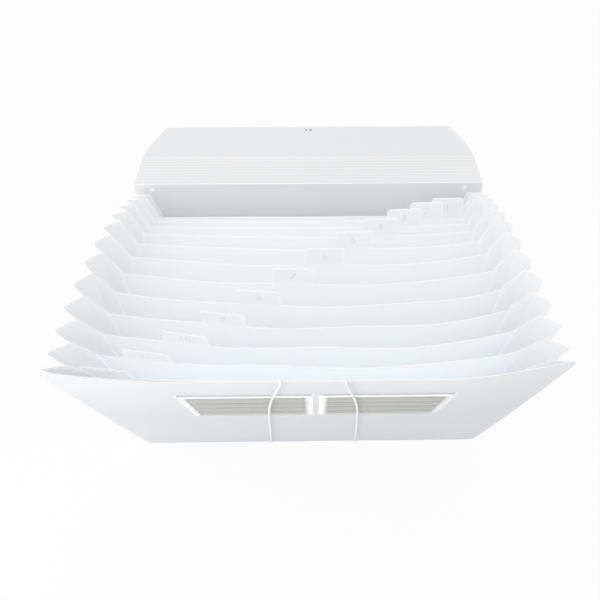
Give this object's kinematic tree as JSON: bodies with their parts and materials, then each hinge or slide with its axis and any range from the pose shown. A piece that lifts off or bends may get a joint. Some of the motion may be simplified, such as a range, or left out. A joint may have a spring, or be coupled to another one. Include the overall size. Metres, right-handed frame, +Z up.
{
  "type": "accordion file folder",
  "caption": "Expanding file folder of frosted film, fanned open on its base strip, with tabbed dividers, pleated sides, a scored fold-over flap, card pockets and an elastic loop.",
  "frame": {"origin": "middle of the base strip's underside, where the folder stands", "axes": "+X along the base strip, to the right seen from the front; +Y from the front panel to the flap; +Z up"},
  "size_m": [0.33, 0.3342, 0.2362],
  "materials": {
    "cover_film": "frosted",
    "flap_film": "frosted",
    "divider_film": "frosted",
    "pleat_film": "frosted",
    "clear_film": "clear",
    "grey_card": "ruled",
    "label_paper": "matt",
    "elastic": "braided",
    "dark_metal": "dull",
    "white_plastic": "smooth"
  },
  "bodies": {
    "base": {"base_strip": "cover_film", "divider_welds": "divider_film"},
    "front_panel": {"front_panel": "cover_film", "left_card_pocket": "clear_film", "right_card_pocket": "clear_film", "elastic_loop": "elastic", "elastic_barbs": "dark_metal"},
    "back_panel": {"back_panel": "cover_film", "corner_rivets": "white_plastic", "side_pleats_01": "pleat_film"},
    "divider_01": {"divider_01": "divider_film", "index_label_01": "label_paper", "side_pleats_02": "pleat_film"},
    "divider_02": {"divider_02": "divider_film", "index_label_02": "label_paper", "side_pleats_03": "pleat_film"},
    "divider_03": {"divider_03": "divider_film", "index_label_03": "label_paper", "side_pleats_04": "pleat_film"},
    "divider_04": {"divider_04": "divider_film", "index_label_04": "label_paper", "side_pleats_05": "pleat_film"},
    "divider_05": {"divider_05": "divider_film", "index_label_05": "label_paper", "side_pleats_06": "pleat_film"},
    "divider_06": {"divider_06": "divider_film", "index_label_06": "label_paper", "side_pleats_07": "pleat_film"},
    "divider_07": {"divider_07": "divider_film", "index_label_07": "label_paper", "side_pleats_08": "pleat_film"},
    "divider_08": {"divider_08": "divider_film", "index_label_08": "label_paper", "side_pleats_09": "pleat_film"},
    "divider_09": {"divider_09": "divider_film", "index_label_09": "label_paper", "side_pleats_10": "pleat_film"},
    "divider_10": {"divider_10": "divider_film", "index_label_10": "label_paper", "side_pleats_11": "pleat_film"},
    "divider_11": {"divider_11": "divider_film", "index_label_11": "label_paper", "side_pleats_12": "pleat_film"},
    "divider_12": {"divider_12": "divider_film", "index_label_12": "label_paper", "side_pleats_13": "pleat_film"},
    "flap_band": {"flap_band": "flap_film"},
    "flap_tongue": {"flap_tongue": "flap_film", "closure_knob": "white_plastic", "knob_rivets": "dark_metal"},
    "left_card": {"left_card": "grey_card"},
    "right_card": {"right_card": "grey_card"}
  },
  "joints": [
    {"name": "front_panel_fold", "type": "hinge", "parent": "base", "child": "front_panel", "pos_m": [0, -0.0165, 0.0004], "axis": [-1, 0, 0], "range_deg": [0, 26], "deforming": ["side_pleats_01", "side_pleats_02", "side_pleats_03", "side_pleats_04", "side_pleats_05", "side_pleats_06", "side_pleats_07", "side_pleats_08", "side_pleats_09", "side_pleats_10", "side_pleats_11", "side_pleats_12", "side_pleats_13"]},
    {"name": "back_panel_fold", "type": "hinge", "parent": "base", "child": "back_panel", "pos_m": [0, 0.0165, 0.0004], "axis": [1, 0, 0], "range_deg": [0, 26]},
    {"name": "divider_01_fold", "type": "hinge", "parent": "base", "child": "divider_01", "pos_m": [0, 0.01396, 0.0014], "axis": [1, 0, 0], "range_deg": [0, 23.07]},
    {"name": "divider_02_fold", "type": "hinge", "parent": "base", "child": "divider_02", "pos_m": [0, 0.01142, 0.0014], "axis": [1, 0, 0], "range_deg": [0, 19.89]},
    {"name": "divider_03_fold", "type": "hinge", "parent": "base", "child": "divider_03", "pos_m": [0, 0.00889, 0.0014], "axis": [1, 0, 0], "range_deg": [0, 16.28]},
    {"name": "divider_04_fold", "type": "hinge", "parent": "base", "child": "divider_04", "pos_m": [0, 0.00635, 0.0014], "axis": [1, 0, 0], "range_deg": [0, 12.15]},
    {"name": "divider_05_fold", "type": "hinge", "parent": "base", "child": "divider_05", "pos_m": [0, 0.00381, 0.0014], "axis": [1, 0, 0], "range_deg": [0, 7.53]},
    {"name": "divider_06_fold", "type": "hinge", "parent": "base", "child": "divider_06", "pos_m": [0, 0.00127, 0.0014], "axis": [1, 0, 0], "range_deg": [0, 2.55]},
    {"name": "divider_07_fold", "type": "hinge", "parent": "base", "child": "divider_07", "pos_m": [0, -0.00127, 0.0014], "axis": [-1, 0, 0], "range_deg": [0, 2.55]},
    {"name": "divider_08_fold", "type": "hinge", "parent": "base", "child": "divider_08", "pos_m": [0, -0.00381, 0.0014], "axis": [-1, 0, 0], "range_deg": [0, 7.53]},
    {"name": "divider_09_fold", "type": "hinge", "parent": "base", "child": "divider_09", "pos_m": [0, -0.00635, 0.0014], "axis": [-1, 0, 0], "range_deg": [0, 12.15]},
    {"name": "divider_10_fold", "type": "hinge", "parent": "base", "child": "divider_10", "pos_m": [0, -0.00889, 0.0014], "axis": [-1, 0, 0], "range_deg": [0, 16.28]},
    {"name": "divider_11_fold", "type": "hinge", "parent": "base", "child": "divider_11", "pos_m": [0, -0.01142, 0.0014], "axis": [-1, 0, 0], "range_deg": [0, 19.89]},
    {"name": "divider_12_fold", "type": "hinge", "parent": "base", "child": "divider_12", "pos_m": [0, -0.01396, 0.0014], "axis": [-1, 0, 0], "range_deg": [0, 23.07]},
    {"name": "flap_fold", "type": "hinge", "parent": "back_panel", "child": "flap_band", "pos_m": [0, 0.12213, 0.21697], "axis": [1, 0, 0], "range_deg": [-40, 142]},
    {"name": "tongue_fold", "type": "hinge", "parent": "flap_band", "child": "flap_tongue", "pos_m": [0, 0.16024, 0.22507], "axis": [1, 0, 0], "range_deg": [-20, 90]},
    {"name": "left_card_slide", "type": "slide", "parent": "front_panel", "child": "left_card", "axis": [0, -0.4384, 0.8988], "range_m": [0, 0.03]},
    {"name": "right_card_slide", "type": "slide", "parent": "front_panel", "child": "right_card", "axis": [0, -0.4384, 0.8988], "range_m": [0, 0.03]}
  ],
  "couplings": [
    {"joint": "back_panel_fold", "follows": "front_panel_fold", "ratio": 1},
    {"joint": "divider_01_fold", "follows": "front_panel_fold", "ratio": 0.88726},
    {"joint": "divider_02_fold", "follows": "front_panel_fold", "ratio": 0.76511},
    {"joint": "divider_03_fold", "follows": "front_panel_fold", "ratio": 0.62628},
    {"joint": "divider_04_fold", "follows": "front_panel_fold", "ratio": 0.46733},
    {"joint": "divider_05_fold", "follows": "front_panel_fold", "ratio": 0.28943},
    {"joint": "divider_06_fold", "follows": "front_panel_fold", "ratio": 0.098093},
    {"joint": "divider_07_fold", "follows": "front_panel_fold", "ratio": 0.098093},
    {"joint": "divider_08_fold", "follows": "front_panel_fold", "ratio": 0.28943},
    {"joint": "divider_09_fold", "follows": "front_panel_fold", "ratio": 0.46733},
    {"joint": "divider_10_fold", "follows": "front_panel_fold", "ratio": 0.62628},
    {"joint": "divider_11_fold", "follows": "front_panel_fold", "ratio": 0.76511},
    {"joint": "divider_12_fold", "follows": "front_panel_fold", "ratio": 0.88726}
  ]
}
